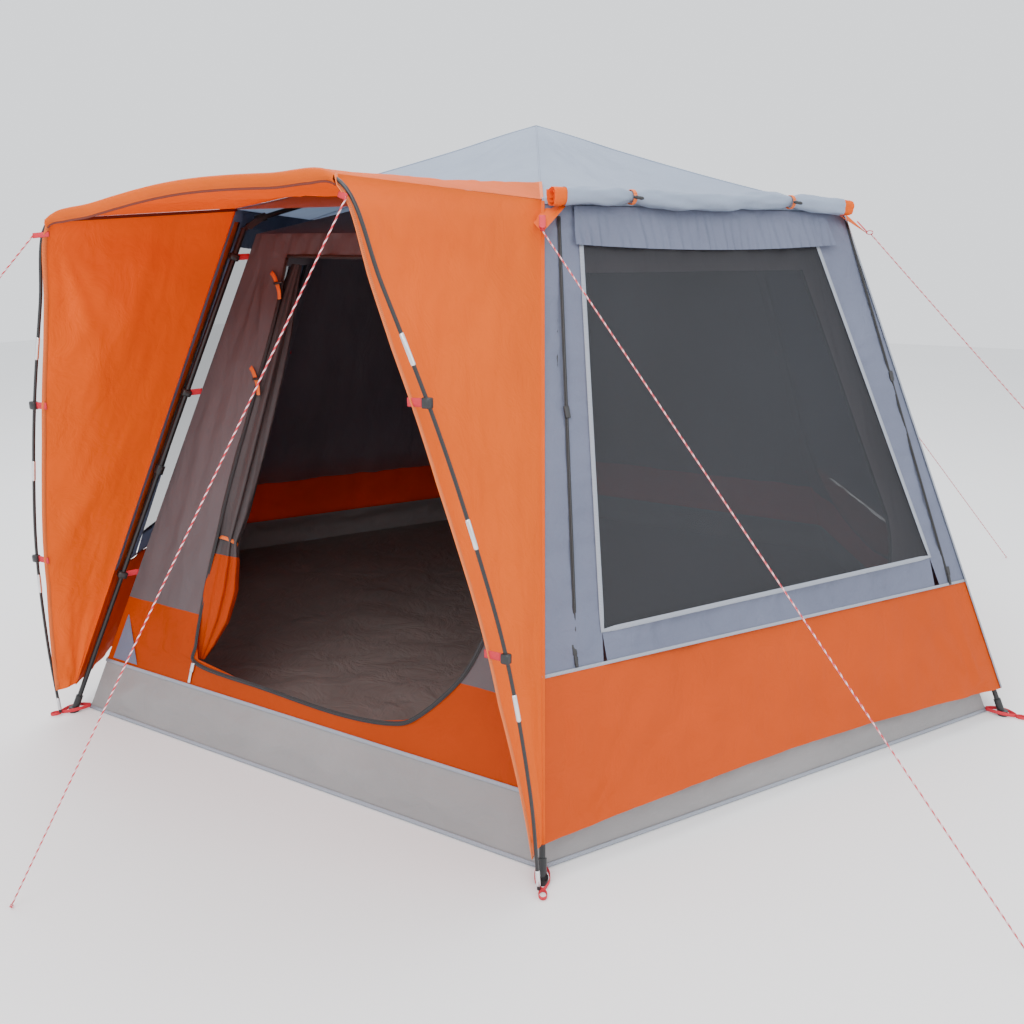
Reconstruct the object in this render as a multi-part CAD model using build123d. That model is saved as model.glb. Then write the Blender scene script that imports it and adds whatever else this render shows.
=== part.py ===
"""Six-sided pop up cabin tent with a front awning, in millimetres.

The origin is on the ground under the hub. +Z is up, -Y is the door side.
Corner 0 is the front left foot, corner 1 the front right one, and they go on
anticlockwise. Side i lies between corner i and corner i + 1.
"""
from build123d import *
import os
from math import acos, cos, hypot, radians, sin

os.makedirs("parts", exist_ok=True)

# ---------------------------------------------------------------- dimensions
CORNER_ANGLES = (-120, -60, 0, 60, 120, 180)

# flysheet: corner radius on the ground, at the eave, and heights
FLY_BASE_R = 1850.0
FLY_EAVE_R = 1153.0
EAVE_Z = 1652.0
APEX_Z = 1976.0
FABRIC = 1.2            # thickness that stands for every sheet
SEAM_GAP = 1.6          # gap between two sheets at a corner
HEM_S = 95.0            # the flysheet's hem, up the slope of a side
WALL_TOP_S = 1742.0

# inner tent
INNER_BASE_R = 1775.0
INNER_EAVE_R = 1090.0
INNER_EAVE_Z = 1575.0
INNER_APEX_Z = 1868.0
FLOOR_R = 1766.0
TUB_HEIGHT = 165.0

# frame, in the upright plane through the hub and one corner
HUB_PIVOT = (62.0, 1925.0)      # radius and height of a rib's hub pin
ELBOW = (1122.0, 1612.0)        # where the rib's and the leg's axes cross
FOOT = (1826.0, 0.0)            # where the leg's axis meets the ground
PIVOT_OFFSET = 14.0             # elbow pin, in from both axes
RIB_R, RIB_BORE = 8.0, 7.0
UPPER_R, UPPER_BORE = 9.5, 8.3
LOWER_R, LOWER_BORE = 8.0, 6.8
PIN_R = 3.0
RUNNING = 0.05                  # radial clearance of a pin in its hole
TONGUE = 12.0                   # width of the tongues on rib and leg
CHEEK = 4.5                     # thickness of one clevis cheek
CHEEK_GAP = 13.0                # gap between the two cheeks

# stations along the leg, measured from the elbow point
PLUG_TOP, TUBE_TOP, UPPER_END = 22.0, 34.0, 880.0
COLLAR_TOP, COLLAR_END, COLLAR_R = 862.0, 892.0, 16.0
LOWER_TOP, LOWER_END = 835.0, 1722.0
BOSS_TOP, BOSS_END, BOSS_R = 1700.0, 1750.0, 11.5
SHOE_R, SHOE_H = 15.0, 18.0
BUTTON_S, BUTTON_R = 871.0, 4.0

# hub
HUB_R, HUB_LOW, HUB_HIGH = 75.0, 1893.0, 1944.0
SLOT_FROM = 42.0

# awning hoop: plane through the feet, leaning forward
HOOP_Y = -1622.0
HOOP_LEAN = 4.5
HOOP_SKEW = 40.0        # the hoop stands this much lower at its left corner
HOOP_POLE_R = 4.75
FERRULE_R = 5.8
HOOP_HALF = [(926, 12), (912, 284), (866, 610), (792, 890), (708, 1143),
             (596, 1420), (508, 1628)]
HOOP_TOP = [(300, 1658), (0, 1675)]
WING_INSET = 42.0       # the wing's free edge, in from the pole
CANOPY_R, CANOPY_LIFT = 900.0, 5.0      # where the canopy ends on the roof

# window of the two side walls, in slope coordinates of the wall
MESH_LOW_S, MESH_HIGH_S = 587.0, 1650.0
MESH_LOW_T, MESH_HIGH_T = 650.0, 453.0
ZIP_LOW, ZIP_HIGH = (735.0, 505.0), (556.0, 1700.0)
ROLL_R, ROLL_S, ROLL_OUT, ROLL_HALF = 30.0, 1768.0, 36.0, 540.0

# doorway of the inner front wall, in slope coordinates of the wall
DOOR_SILL_S, DOOR_HEAD_S = 237.0, 1592.0
DOOR_LEFT = (-452.0, -388.0)
DOOR_RIGHT = [(350, 237), (540, 400), (612, 600), (388, 1592)]

CORD_R = 2.0
KNOT_R = 6.0


# ------------------------------------------------------------------- helpers
def vec(point):
    return Vector(*point)


def rod(start, end, radius):
    """Solid cylinder from start to end."""
    line = vec(end) - vec(start)
    plane = Plane(origin=vec(start), z_dir=line)
    return Solid.make_cylinder(radius, line.length, plane)


def tube(start, end, outer, inner):
    return rod(start, end, outer) - rod(start, end, inner)


def plate(points, toward, thickness=FABRIC):
    """Flat polygon extruded by its thickness."""
    face = Face(Wire.make_polygon([vec(p) for p in points]))
    way = vec(toward).normalized()
    return extrude(face, amount=thickness, dir=way)


def slab(points_xz, y_from, y_to):
    """Polygon in the X-Z plane, extruded along Y."""
    points = [(x, y_from, z) for x, z in points_xz]
    return plate(points, (0, 1, 0), y_to - y_from)


def turned(shape, index):
    return Rot(0, 0, CORNER_ANGLES[index]) * shape


def save(name, *solids):
    shape = solids[0] if len(solids) == 1 else Compound(children=list(solids))
    export_step(shape, f"parts/{name}.step")


def at_corner(index, radius, height):
    angle = radians(CORNER_ANGLES[index % 6])
    return Vector(radius * cos(angle), radius * sin(angle), height)


class Side:
    """Slope frame of one side: t along the width, s up the slope, n outward."""

    def __init__(self, index, base_r, eave_r, eave_z):
        a, b = at_corner(index, base_r, 0), at_corner(index + 1, base_r, 0)
        ea = at_corner(index, eave_r, eave_z)
        eb = at_corner(index + 1, eave_r, eave_z)
        self.origin = (a + b) * 0.5
        self.t = (b - a).normalized()
        self.length = ((ea + eb) * 0.5 - self.origin).length
        self.s = ((ea + eb) * 0.5 - self.origin).normalized()
        self.n = self.t.cross(self.s).normalized()
        self.half_low, self.half_high = base_r / 2, eave_r / 2

    def half(self, s):
        share = s / self.length
        return self.half_low + (self.half_high - self.half_low) * share

    def point(self, t, s, n=0.0):
        return self.origin + self.t * t + self.s * s + self.n * n

    def sheet(self, outline, thickness=FABRIC, lift=0.0):
        points = [self.point(t, s, lift) for t, s in outline]
        return plate([tuple(p) for p in points], tuple(-self.n), thickness)

    def strip(self, low, high, left=None, right=None):
        """Quadrilateral strip; left and right are (t at low, t at high)."""
        edge_low, edge_high = self.half(low) - SEAM_GAP, self.half(high) - SEAM_GAP
        left = left or (-edge_low, -edge_high)
        right = right or (edge_low, edge_high)
        return self.sheet([(left[0], low), (right[0], low),
                           (right[1], high), (left[1], high)])


def fly_side(index):
    return Side(index, FLY_BASE_R, FLY_EAVE_R, EAVE_Z)


def inner_side(index):
    return Side(index, INNER_BASE_R, INNER_EAVE_R, INNER_EAVE_Z)


# --------------------------------------------------------------------- frame
RIB_DIR = (Vector(ELBOW[0], 0, ELBOW[1]) - Vector(HUB_PIVOT[0], 0, HUB_PIVOT[1])).normalized()
LEG_DIR = (Vector(FOOT[0], 0, FOOT[1]) - Vector(ELBOW[0], 0, ELBOW[1])).normalized()
LEG_OUT = Vector(-LEG_DIR.Z, 0, LEG_DIR.X)
RIB_DOWN = Vector(RIB_DIR.Z, 0, -RIB_DIR.X)
RIB_LENGTH = hypot(ELBOW[0] - HUB_PIVOT[0], ELBOW[1] - HUB_PIVOT[1])


def elbow_pin():
    """Point at PIVOT_OFFSET from both axes, inside the elbow."""
    between = -RIB_DIR + LEG_DIR
    between = between.normalized()
    away = abs(between.dot(RIB_DOWN))
    return Vector(ELBOW[0], 0, ELBOW[1]) + between * (PIVOT_OFFSET / away)


PIN = elbow_pin()


def on_rib(distance, across=0.0):
    """Point at a distance from the hub pin, across is below the rib's axis."""
    start = Vector(HUB_PIVOT[0], 0, HUB_PIVOT[1])
    return start + RIB_DIR * distance + RIB_DOWN * across


def on_leg(distance, across=0.0):
    """Point at a distance from the elbow, across is outside the leg's axis."""
    return Vector(ELBOW[0], 0, ELBOW[1]) + LEG_DIR * distance + LEG_OUT * across


def cross_rod(point, half_width, radius):
    return rod((point.X, -half_width, point.Z), (point.X, half_width, point.Z), radius)


def tongue_between(points, half_width):
    return slab([(p.X, p.Z) for p in points], -half_width, half_width)


def make_rib():
    eye = cross_rod(on_rib(0), TONGUE / 2, 9.0)
    tongue = tongue_between([on_rib(0, -6), on_rib(0, 6), on_rib(30, 6), on_rib(30, -6)],
                            TONGUE / 2)
    body = rod(on_rib(24), on_rib(RIB_LENGTH - 70), RIB_R)
    rib = eye + tongue + body
    rib -= rod(on_rib(34), on_rib(RIB_LENGTH - 69), RIB_BORE)
    return rib - cross_rod(on_rib(0), TONGUE, PIN_R + RUNNING)


def make_knuckle():
    """Plastic elbow on the rib's end: socket, two cheeks and the pin."""
    socket = rod(on_rib(RIB_LENGTH - 70), on_rib(RIB_LENGTH - 34), 13.0)
    spigot = rod(on_rib(RIB_LENGTH - 100), on_rib(RIB_LENGTH - 60), RIB_BORE)
    knuckle = socket + spigot
    outline = [on_rib(RIB_LENGTH - 52, -10), on_rib(RIB_LENGTH - 52, 10),
               PIN + RIB_DOWN * 10, PIN + RIB_DIR * 10, PIN - RIB_DOWN * 9]
    for side in (-1, 1):
        low, high = sorted((side * CHEEK_GAP / 2, side * (CHEEK_GAP / 2 + CHEEK)))
        knuckle += slab([(p.X, p.Z) for p in outline], low, high)
        knuckle += rod((PIN.X, low, PIN.Z), (PIN.X, high, PIN.Z), 10.5)
    return knuckle + cross_rod(PIN, CHEEK_GAP / 2 + CHEEK + 2, PIN_R)


def make_upper_leg():
    """Outer tube with its top plug and the lock collar at its lower end."""
    plug = rod(on_leg(PLUG_TOP), on_leg(TUBE_TOP), UPPER_R)
    tongue = tongue_between([PIN - LEG_OUT * 7, PIN + LEG_OUT * 9, on_leg(26, 7), on_leg(26, -8)],
                            TONGUE / 2)
    plug = plug + tongue + cross_rod(PIN, TONGUE / 2, 9.5)
    plug -= cross_rod(PIN, TONGUE, PIN_R + RUNNING)
    outer = tube(on_leg(TUBE_TOP), on_leg(UPPER_END), UPPER_R, UPPER_BORE)
    collar = rod(on_leg(COLLAR_TOP), on_leg(COLLAR_END), COLLAR_R)
    collar -= rod(on_leg(COLLAR_TOP - 1), on_leg(UPPER_END), UPPER_R)
    collar -= rod(on_leg(UPPER_END - 1), on_leg(COLLAR_END + 1), UPPER_BORE)
    centre = on_leg(BUTTON_S)
    collar -= rod((centre.X, 0, centre.Z), (centre.X, 20, centre.Z), BUTTON_R + RUNNING)
    return [plug, outer, collar]


def make_lower_leg():
    """Inner tube, and the plastic shoe pressed on its end."""
    inner = tube(on_leg(LOWER_TOP), on_leg(LOWER_END), LOWER_R, LOWER_BORE)
    shoe = rod((FOOT[0], 0, 0), (FOOT[0], 0, SHOE_H), SHOE_R)
    shoe += rod(on_leg(BOSS_TOP), on_leg(BOSS_END), BOSS_R)
    shoe -= rod(on_leg(BOSS_TOP - 1), on_leg(LOWER_END), LOWER_R)
    shoe &= Pos(FOOT[0], 0, 100) * Box(200, 100, 200)
    return [inner, shoe]


def make_button():
    """Push button of the lock collar, on the tangential side."""
    centre = on_leg(BUTTON_S)
    stem = rod((centre.X, 13.0, centre.Z), (centre.X, 19.0, centre.Z), BUTTON_R)
    return stem


def make_hub():
    hub = Pos(0, 0, HUB_LOW) * extrude(RegularPolygon(HUB_R, 6, major_radius=False, rotation=30),
                                       amount=HUB_HIGH - HUB_LOW)
    hub += rod((0, 0, HUB_HIGH), (0, 0, HUB_HIGH + 12), 34.0)
    hub += rod((0, 0, HUB_LOW - 14), (0, 0, HUB_LOW), 26.0)
    for index in range(6):
        slot = Pos((SLOT_FROM + 120) / 2, 0, (HUB_LOW + HUB_HIGH) / 2)
        slot = slot * Box(120 - SLOT_FROM, CHEEK_GAP, HUB_HIGH - HUB_LOW + 2)
        hub -= turned(slot, index)
        hub -= turned(cross_rod(on_rib(0), 16.0, PIN_R), index)
    return hub


def make_hub_pin():
    return cross_rod(on_rib(0), 16.0, PIN_R)


def frame_parts():
    save("hub_body", make_hub())
    save("hub_pins", *[turned(make_hub_pin(), i) for i in range(6)])
    rib, knuckle, button = make_rib(), make_knuckle(), make_button()
    upper, lower = make_upper_leg(), make_lower_leg()
    for index in range(6):
        number = index + 1
        save(f"rib_{number}", turned(rib, index))
        save(f"knuckle_{number}", turned(knuckle, index))
        save(f"upper_leg_{number}", *[turned(part, index) for part in upper])
        save(f"lower_leg_{number}", *[turned(part, index) for part in lower])
        save(f"lock_button_{number}", turned(button, index))


# --------------------------------------------------------------- tent fabric
def groundsheet():
    """Floor and the upright sides of the tub, each a solid of its own."""
    corners = [at_corner(i, FLOOR_R, 0) for i in range(6)]
    solids = [plate([tuple(p) for p in corners], (0, 0, 1), 2.0)]
    top = TUB_HEIGHT / sin(acos(0.866 * (INNER_BASE_R - INNER_EAVE_R) / inner_side(0).length))
    for index in range(6):
        side = inner_side(index)
        solids.append(side.strip(4.0, top))
    return solids, top + 3.0


def inner_front(low):
    """Front wall around the doorway: sill, two jambs and head."""
    side = inner_side(0)
    head = side.length - 8.0
    solids = [side.strip(low, DOOR_SILL_S)]
    solids.append(side.strip(DOOR_SILL_S + 1, DOOR_HEAD_S, right=DOOR_LEFT))
    for (t0, s0), (t1, s1) in zip(DOOR_RIGHT, DOOR_RIGHT[1:]):
        solids.append(side.strip(s0 + 1, s1, left=(t0, t1)))
    solids.append(side.strip(DOOR_HEAD_S + 1, head))
    return solids


def inner_walls(low):
    return [inner_side(i).strip(low, inner_side(i).length - 8.0) for i in range(1, 6)]


def cone_roof(apex_z, eave_r, eave_z):
    """Six flat gores that meet at the apex; extruded straight down."""
    apex = Vector(0, 0, apex_z)
    gores = []
    for index in range(6):
        a, b = at_corner(index, eave_r, eave_z), at_corner(index + 1, eave_r, eave_z)
        gores.append(plate([tuple(apex), tuple(a), tuple(b)], (0, 0, -1)))
    return gores


def window_wall(index):
    """Side wall around its window: band, two borders and top border."""
    side = fly_side(index)
    low, high = MESH_LOW_S, MESH_HIGH_S
    return [side.strip(HEM_S, low),
            side.strip(low + 1, high, right=(-MESH_LOW_T, -MESH_HIGH_T)),
            side.strip(low + 1, high, left=(MESH_LOW_T, MESH_HIGH_T)),
            side.strip(high + 1, WALL_TOP_S)]


def window_mesh(index):
    side = fly_side(index)
    low_t, high_t = MESH_LOW_T - 1, MESH_HIGH_T - 1
    return side.strip(MESH_LOW_S + 2, MESH_HIGH_S - 1, (-low_t, -high_t), (low_t, high_t))


def cover_roll(index):
    """The window's storm cover, rolled up and tied along the eave."""
    side = fly_side(index)
    start = side.point(-ROLL_HALF, ROLL_S, ROLL_OUT)
    end = side.point(ROLL_HALF, ROLL_S, ROLL_OUT)
    return rod(tuple(start), tuple(end), ROLL_R)


def zip_slider(index, way):
    """Slider and pull of one window zip, parked at its lower end."""
    side = fly_side(index)
    t, s = way * ZIP_LOW[0], ZIP_LOW[1]
    outline = [(t - 7, s + 14), (t + 7, s + 14), (t + 7, s + 62), (t - 7, s + 62)]
    return side.sheet(outline, 6.0, 7.6)


def door_slider():
    side = inner_side(0)
    outline = [(-452, 196), (-438, 196), (-438, 250), (-452, 250)]
    return side.sheet(outline, 6.0, 7.6)


def door_panel():
    """The door's fabric, gathered and tied at its left edge."""
    side = inner_side(0)
    solids = []
    stations = [(-398, 1586, 34), (-404, 1300, 40), (-420, 700, 46), (-432, 252, 40)]
    for (t0, s0, w0), (t1, s1, w1) in zip(stations, stations[1:]):
        lower = side.point(t1, s1, -52)
        upper = side.point(t0, s0, -52)
        solids.append(rod(tuple(lower), tuple(upper), min(w0, w1)))
    body = solids[0]
    for extra in solids[1:]:
        body += extra
    return body


def gusset(index):
    """Small triangular flap at an eave corner that takes a guy line."""
    triangle = slab([(1160, 1648), (1236, 1586), (1199, 1556)], -0.8, 0.8)
    return turned(triangle, index)


# -------------------------------------------------------------------- awning
def hoop_point(x, v, lift=0.0):
    """Point in the hoop's plane, x across and v up the plane."""
    skew = HOOP_SKEW * (x / 508.0) * (v / 1650.0) ** 2
    up = v + skew + lift
    lean = radians(HOOP_LEAN)
    return Vector(x, HOOP_Y - up * sin(lean), up * cos(lean))


def hoop_route():
    right = HOOP_HALF + HOOP_TOP
    left = [(-x, v) for x, v in reversed(right[:-1])]
    return [hoop_point(x, v) for x, v in right + left]


def bend_radii(points, share=0.45, most=900.0):
    radii = []
    for a, b, c in zip(points, points[1:], points[2:]):
        turn = radians((b - a).get_angle(c - b))
        run = min((b - a).length, (c - b).length)
        radii.append(min(share * run / sin(turn / 2) * cos(turn / 2), most))
    return radii


def hoop_pole():
    points = hoop_route()
    path = FilletPolyline(*points, radius=bend_radii(points))
    start = Plane(origin=path @ 0, z_dir=path % 0)
    return sweep(start * Circle(HOOP_POLE_R), path=path)


def ferrules():
    """Metal sleeves that join the pole's sections; each is split around it."""
    places = [(1, 0.66), (3, 0.4), (4, 0.53)]
    solids = []
    for run, share in places:
        (x0, v0), (x1, v1) = HOOP_HALF[run], HOOP_HALF[run + 1]
        for way in (1, -1):
            a, b = hoop_point(way * x0, v0), hoop_point(way * x1, v1)
            middle, along = a + (b - a) * share, (b - a).normalized()
            ends = (tuple(middle - along * 34), tuple(middle + along * 34))
            solids.append(tube(*ends, FERRULE_R, HOOP_POLE_R))
    return solids


def wing(way):
    """Side curtain of the awning, from the corner leg to near the pole."""
    levels = [(0, 130.0), (2, 610.0), (3, 890.0), (4, 1143.0), (5, 1420.0), (6, 1600.0)]
    legs, edges = [], []
    for run, v in levels:
        x, pole_v = HOOP_HALF[run]
        if run == 0:
            x = 916.0
        share = v / 1652.0
        radius = FLY_BASE_R + (FLY_EAVE_R - FLY_BASE_R) * min(share, 0.985)
        corner = at_corner(1, radius, EAVE_Z * min(share, 0.985))
        legs.append((way * corner.X, corner.Y - 5.0, corner.Z))
        inset = WING_INSET * min(1.0, v / 610.0)
        edge = hoop_point(way * (x - inset), v)
        edges.append(tuple(edge))
    solids = []
    for k in range(len(levels) - 1):
        solids.append(plate([legs[k], edges[k], edges[k + 1]], (way, 0, 0)))
        solids.append(plate([legs[k], edges[k + 1], legs[k + 1]], (way, 0, 0)))
    return solids


def canopy():
    """Awning roof, from the hoop over the eave and up on the front gore."""
    heights = {486: 1634, 300: 1658, 150: 1671, 0: 1675}
    xs = [-486, -300, -150, 0, 150, 300, 486]
    front = [hoop_point(x, heights[abs(x)], 10.0) for x in xs]
    rise = (APEX_Z - EAVE_Z) * (1 - CANOPY_R / FLY_EAVE_R)
    left = at_corner(0, CANOPY_R, EAVE_Z + rise + CANOPY_LIFT)
    right = at_corner(1, CANOPY_R, EAVE_Z + rise + CANOPY_LIFT)
    back = [left + (right - left) * (k / 6) for k in range(7)]
    triangles = []
    for k in range(6):
        triangles.append((front[k], front[k + 1], back[k + 1]))
        triangles.append((front[k], back[k + 1], back[k]))
    for index, edge in ((0, 0), (1, 6)):
        eave = at_corner(index, FLY_EAVE_R, EAVE_Z + CANOPY_LIFT)
        triangles.append((front[edge], back[edge], eave))
    return [plate([tuple(p) for p in corners], (0, 0, -1)) for corners in triangles]


# ------------------------------------------------- webbing, guys and fittings
def foot_loop(index):
    """Webbing from the tub's corner round the shoe, and the peg loop."""
    bars = [(1769, 1806, -12, 12), (1806, 1862, -26, -20), (1806, 1862, 20, 26),
            (1862, 1872, -26, 26), (1872, 1908, -12, -7), (1872, 1908, 7, 12),
            (1908, 1916, -12, 12)]
    solids = []
    for r0, r1, y0, y1 in bars:
        bar = Pos((r0 + r1) / 2, (y0 + y1) / 2, 1.4) * Box(r1 - r0, y1 - y0, 1.8)
        solids.append(turned(bar, index))
    return solids


def eave_tab(index):
    """Webbing tab at the tip of a gusset, where a guy line is tied."""
    tab = Pos(1242, 0, 1580) * Box(10, 4, 14)
    return turned(tab, index)


LEFT_TIP = hoop_point(-522, 1612)
RIGHT_TIP = hoop_point(522, 1612)


def awning_tab(tip, way):
    return Pos(tip.X + way * 16, tip.Y - 8, tip.Z - 2) * Box(12, 6, 16)


def guy_ends():
    """Start and ground point of each guy line."""
    tips = {}
    tips["guy_awning_left"] = (LEFT_TIP + Vector(-27, -14, -8), Vector(-1880, -2480, KNOT_R))
    tips["guy_awning_right"] = (RIGHT_TIP + Vector(12, -16, -16), Vector(-137, -2312, KNOT_R))
    ground = {1: (1990, -1290), 2: (2620, 760), 3: (1694, 1929)}
    names = {1: "guy_front_right", 2: "guy_right", 3: "guy_back_right"}
    for index, (x, y) in ground.items():
        start = at_corner(index, 1252, 1572)
        tips[names[index]] = (start, Vector(x, y, KNOT_R))
    return tips


def guy_parts():
    knots = []
    for name, (start, end) in guy_ends().items():
        along = (end - start).normalized()
        save(name, rod(tuple(start), tuple(end - along * 2.0), CORD_R))
        print(f"{name}: length {(end - start).length:.0f} mm, straight")
        knots.append(Pos(end.X, end.Y, KNOT_R + 0.2) * Sphere(KNOT_R))
    save("guy_knots", *knots)


def fabric_parts():
    tub, above_tub = groundsheet()
    save("groundsheet", *tub)
    save("inner_front_wall", *inner_front(above_tub))
    save("inner_walls", *inner_walls(above_tub))
    save("inner_roof", *cone_roof(INNER_APEX_Z, INNER_EAVE_R, INNER_EAVE_Z))
    save("door_panel", door_panel())
    save("door_zip_slider", door_slider())
    save("roof_fly", *cone_roof(APEX_Z, FLY_EAVE_R, EAVE_Z))
    save("fly_window_walls", *window_wall(1), *window_wall(5))
    save("fly_back_walls", *[fly_side(i).strip(HEM_S, WALL_TOP_S) for i in (2, 3, 4)])
    save("window_meshes", window_mesh(1), window_mesh(5))
    save("cover_rolls", cover_roll(1), cover_roll(5))
    for index, name in ((1, "right"), (5, "left")):
        save(f"{name}_zip_slider_front", zip_slider(index, -1 if index == 1 else 1))
        save(f"{name}_zip_slider_back", zip_slider(index, 1 if index == 1 else -1))
    save("corner_gussets", *[gusset(i) for i in range(1, 6)])


def awning_parts():
    save("hoop_pole", hoop_pole())
    save("hoop_ferrules", *ferrules())
    save("awning_wings", *wing(1), *wing(-1))
    save("awning_canopy", *canopy())


def webbing_parts():
    loops = [bar for index in range(6) for bar in foot_loop(index)]
    loops += [eave_tab(index) for index in range(1, 6)]
    loops += [awning_tab(LEFT_TIP, -1), awning_tab(RIGHT_TIP, 1)]
    save("webbing_loops", *loops)


frame_parts()
fabric_parts()
awning_parts()
webbing_parts()
guy_parts()
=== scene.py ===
"""Looks of the six-sided pop up tent, in metres, in the CAD model's frame.

The origin is on the ground under the hub, +Z is up and the doorway faces -Y.
Side i lies between corner i and corner i + 1; side 0 is the front, side 1 the
right wall with its window, side 5 the left one.
"""
from math import atan2, cos, exp, pi, radians, sin, sqrt

import bpy
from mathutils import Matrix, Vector, noise


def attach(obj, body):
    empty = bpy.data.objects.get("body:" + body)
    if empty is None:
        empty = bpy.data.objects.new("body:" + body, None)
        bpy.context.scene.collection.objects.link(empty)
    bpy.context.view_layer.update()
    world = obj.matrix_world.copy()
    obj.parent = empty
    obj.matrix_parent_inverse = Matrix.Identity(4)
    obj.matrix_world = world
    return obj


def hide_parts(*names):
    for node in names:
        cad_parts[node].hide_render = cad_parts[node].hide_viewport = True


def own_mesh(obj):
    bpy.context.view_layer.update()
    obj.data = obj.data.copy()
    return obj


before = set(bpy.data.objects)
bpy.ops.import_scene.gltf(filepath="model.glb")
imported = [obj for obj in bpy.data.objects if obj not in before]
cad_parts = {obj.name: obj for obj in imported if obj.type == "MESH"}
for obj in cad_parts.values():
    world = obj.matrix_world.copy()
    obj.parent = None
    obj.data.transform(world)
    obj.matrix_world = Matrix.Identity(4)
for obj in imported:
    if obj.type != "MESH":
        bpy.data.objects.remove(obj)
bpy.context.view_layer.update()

# ------------------------------------------------------------------ dimensions
CORNER_ANGLES = (-120, -60, 0, 60, 120, 180)
FLY = dict(base=1.850, eave=1.153, z=1.652)
INNER = dict(base=1.775, eave=1.090, z=1.575)
APEX_Z, INNER_APEX_Z = 1.976, 1.868
FLOOR_R, TUB_TOP = 1.7708, 0.176

HOOP_Y, HOOP_LEAN, HOOP_SKEW = -1.622, radians(4.5), 0.040
HOOP_HALF = [(0.926, 0.012), (0.912, 0.284), (0.866, 0.610), (0.792, 0.890),
             (0.708, 1.143), (0.596, 1.420), (0.508, 1.628)]
HOOP_TOP = [(0.300, 1.658), (0.0, 1.675)]
POLE_R, CORD_R = 0.00475, 0.002
FERRULE_R, FERRULE_END_R = 0.0057, 0.0049
WING_EDGE = [(0.10, 0.010), (0.50, 0.046), (1.00, 0.050), (1.29, 0.038), (1.47, 0.022), (1.64, 0.011)]
CANOPY_UP, CORNER_AT = 0.22, 0.8          # how far the canopy runs up the roof

BAND_FRONT, BAND_BACK = 0.507, 0.482      # top of the orange band, up the wall
WINDOW = dict(low=0.587, top=1.70, front=(0.624, 0.466), back=(0.677, 0.415))
ZIPS = dict(front=((0.721, 0.516), (0.533, 1.715)), back=((0.748, 0.487), (0.582, 1.715)))
DOOR_LEFT = [(0.229, 0.155), (0.237, -0.127), (0.249, -0.425), (0.314, -0.452), (0.506, -0.458),
             (0.653, -0.452), (0.866, -0.440), (1.359, -0.390), (1.600, -0.385)]
DOOR_RIGHT = [(0.229, 0.155), (0.245, 0.347), (0.286, 0.437), (0.413, 0.549), (0.541, 0.602),
              (0.603, 0.612), (0.666, 0.600), (1.600, 0.385)]
INNER_BAND = 0.405

FLY_KEEP, INNER_KEEP = 0.12, 0.035        # thickness left when the frame is folded
TOGGLE_RADII = [0.003, 0.0045, 0.005, 0.004, 0.005, 0.0045, 0.003]
SEAM_W, SEAM_T = 0.009, 0.002             # bound seams of the flysheet
TIE_W = 0.012                             # ties of the covers and of the door


# --------------------------------------------------------------------- helpers
def corner(index, radius, z):
    angle = radians(CORNER_ANGLES[index % 6])
    return Vector((radius * cos(angle), radius * sin(angle), z))


class Side:
    """One wall's own frame: t along its width, s up its slope, n outward."""

    def __init__(self, index, base, eave, z):
        a, b = corner(index, base, 0), corner(index + 1, base, 0)
        top = (corner(index, eave, z) + corner(index + 1, eave, z)) / 2
        self.index, self.origin = index, (a + b) / 2
        self.t = (b - a).normalized()
        self.length = (top - self.origin).length
        self.s = (top - self.origin).normalized()
        self.n = self.t.cross(self.s).normalized()
        self.low, self.high = base / 2, eave / 2

    def half(self, s):
        return self.low + (self.high - self.low) * s / self.length

    def point(self, t, s, n=0.0):
        return self.origin + self.t * t + self.s * s + self.n * n


def between(table, at):
    """Straight-line reading of a short table of (where, value)."""
    for (x0, y0), (x1, y1) in zip(table, table[1:]):
        if at <= x1:
            return y0 + (y1 - y0) * max(0.0, (at - x0) / (x1 - x0))
    return table[-1][1]


def smooth_step(x):
    x = min(1.0, max(0.0, x))
    return x * x * (3 - 2 * x)


def through(points, per):
    """Catmull-Rom curve through the points, per steps to a run."""
    points = [Vector(p) for p in points]
    ends = [points[0] * 2 - points[1]] + points + [points[-1] * 2 - points[-2]]
    out = []
    for p0, p1, p2, p3 in zip(ends, ends[1:], ends[2:], ends[3:]):
        for k in range(per):
            w = k / per
            out.append(0.5 * ((2 * p1) + (p2 - p0) * w + (2 * p0 - 5 * p1 + 4 * p2 - p3) * w * w
                              + (3 * p1 - p0 - 3 * p2 + p3) * w ** 3))
    return out + [points[-1]]


def lumps(t, s, size, depth, seed, stretch=1.0):
    """Crumpled relief of cloth: smooth noise, longer up the wall by stretch."""
    where = Vector((t / size, s / (size * stretch), seed * 7.31))
    return depth * noise.fractal(where, 0.7, 2.1, 4)


def rays(t, s, at, count, depth, reach, seed):
    """Tension folds that fan out from a pulled point."""
    dt, ds = t - at[0], s - at[1]
    far = sqrt(dt * dt + ds * ds)
    fan = noise.noise(Vector((atan2(ds, dt) * count, seed * 3.7, 0.0)))
    return depth * fan * smooth_step(far / 0.05) * exp(-far / reach)


# ------------------------------------------------------------------- materials
def node_tree(name):
    material = bpy.data.materials.new(name)
    material.use_nodes = True
    tree = material.node_tree
    tree.nodes.clear()
    return material, tree


def add(tree, kind, **values):
    node = tree.nodes.new(kind)
    for key, value in values.items():
        if hasattr(node, key):
            setattr(node, key, value)
        else:
            node.inputs[key.replace("_", " ")].default_value = value
    return node


def mapped(tree, scale, uv=False):
    """Texture coordinates of the piece, scaled."""
    where = add(tree, "ShaderNodeTexCoord")
    mapping = add(tree, "ShaderNodeMapping")
    mapping.inputs["Scale"].default_value = scale
    tree.links.new(where.outputs["UV" if uv else "Object"], mapping.inputs["Vector"])
    return mapping.outputs["Vector"]


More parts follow.
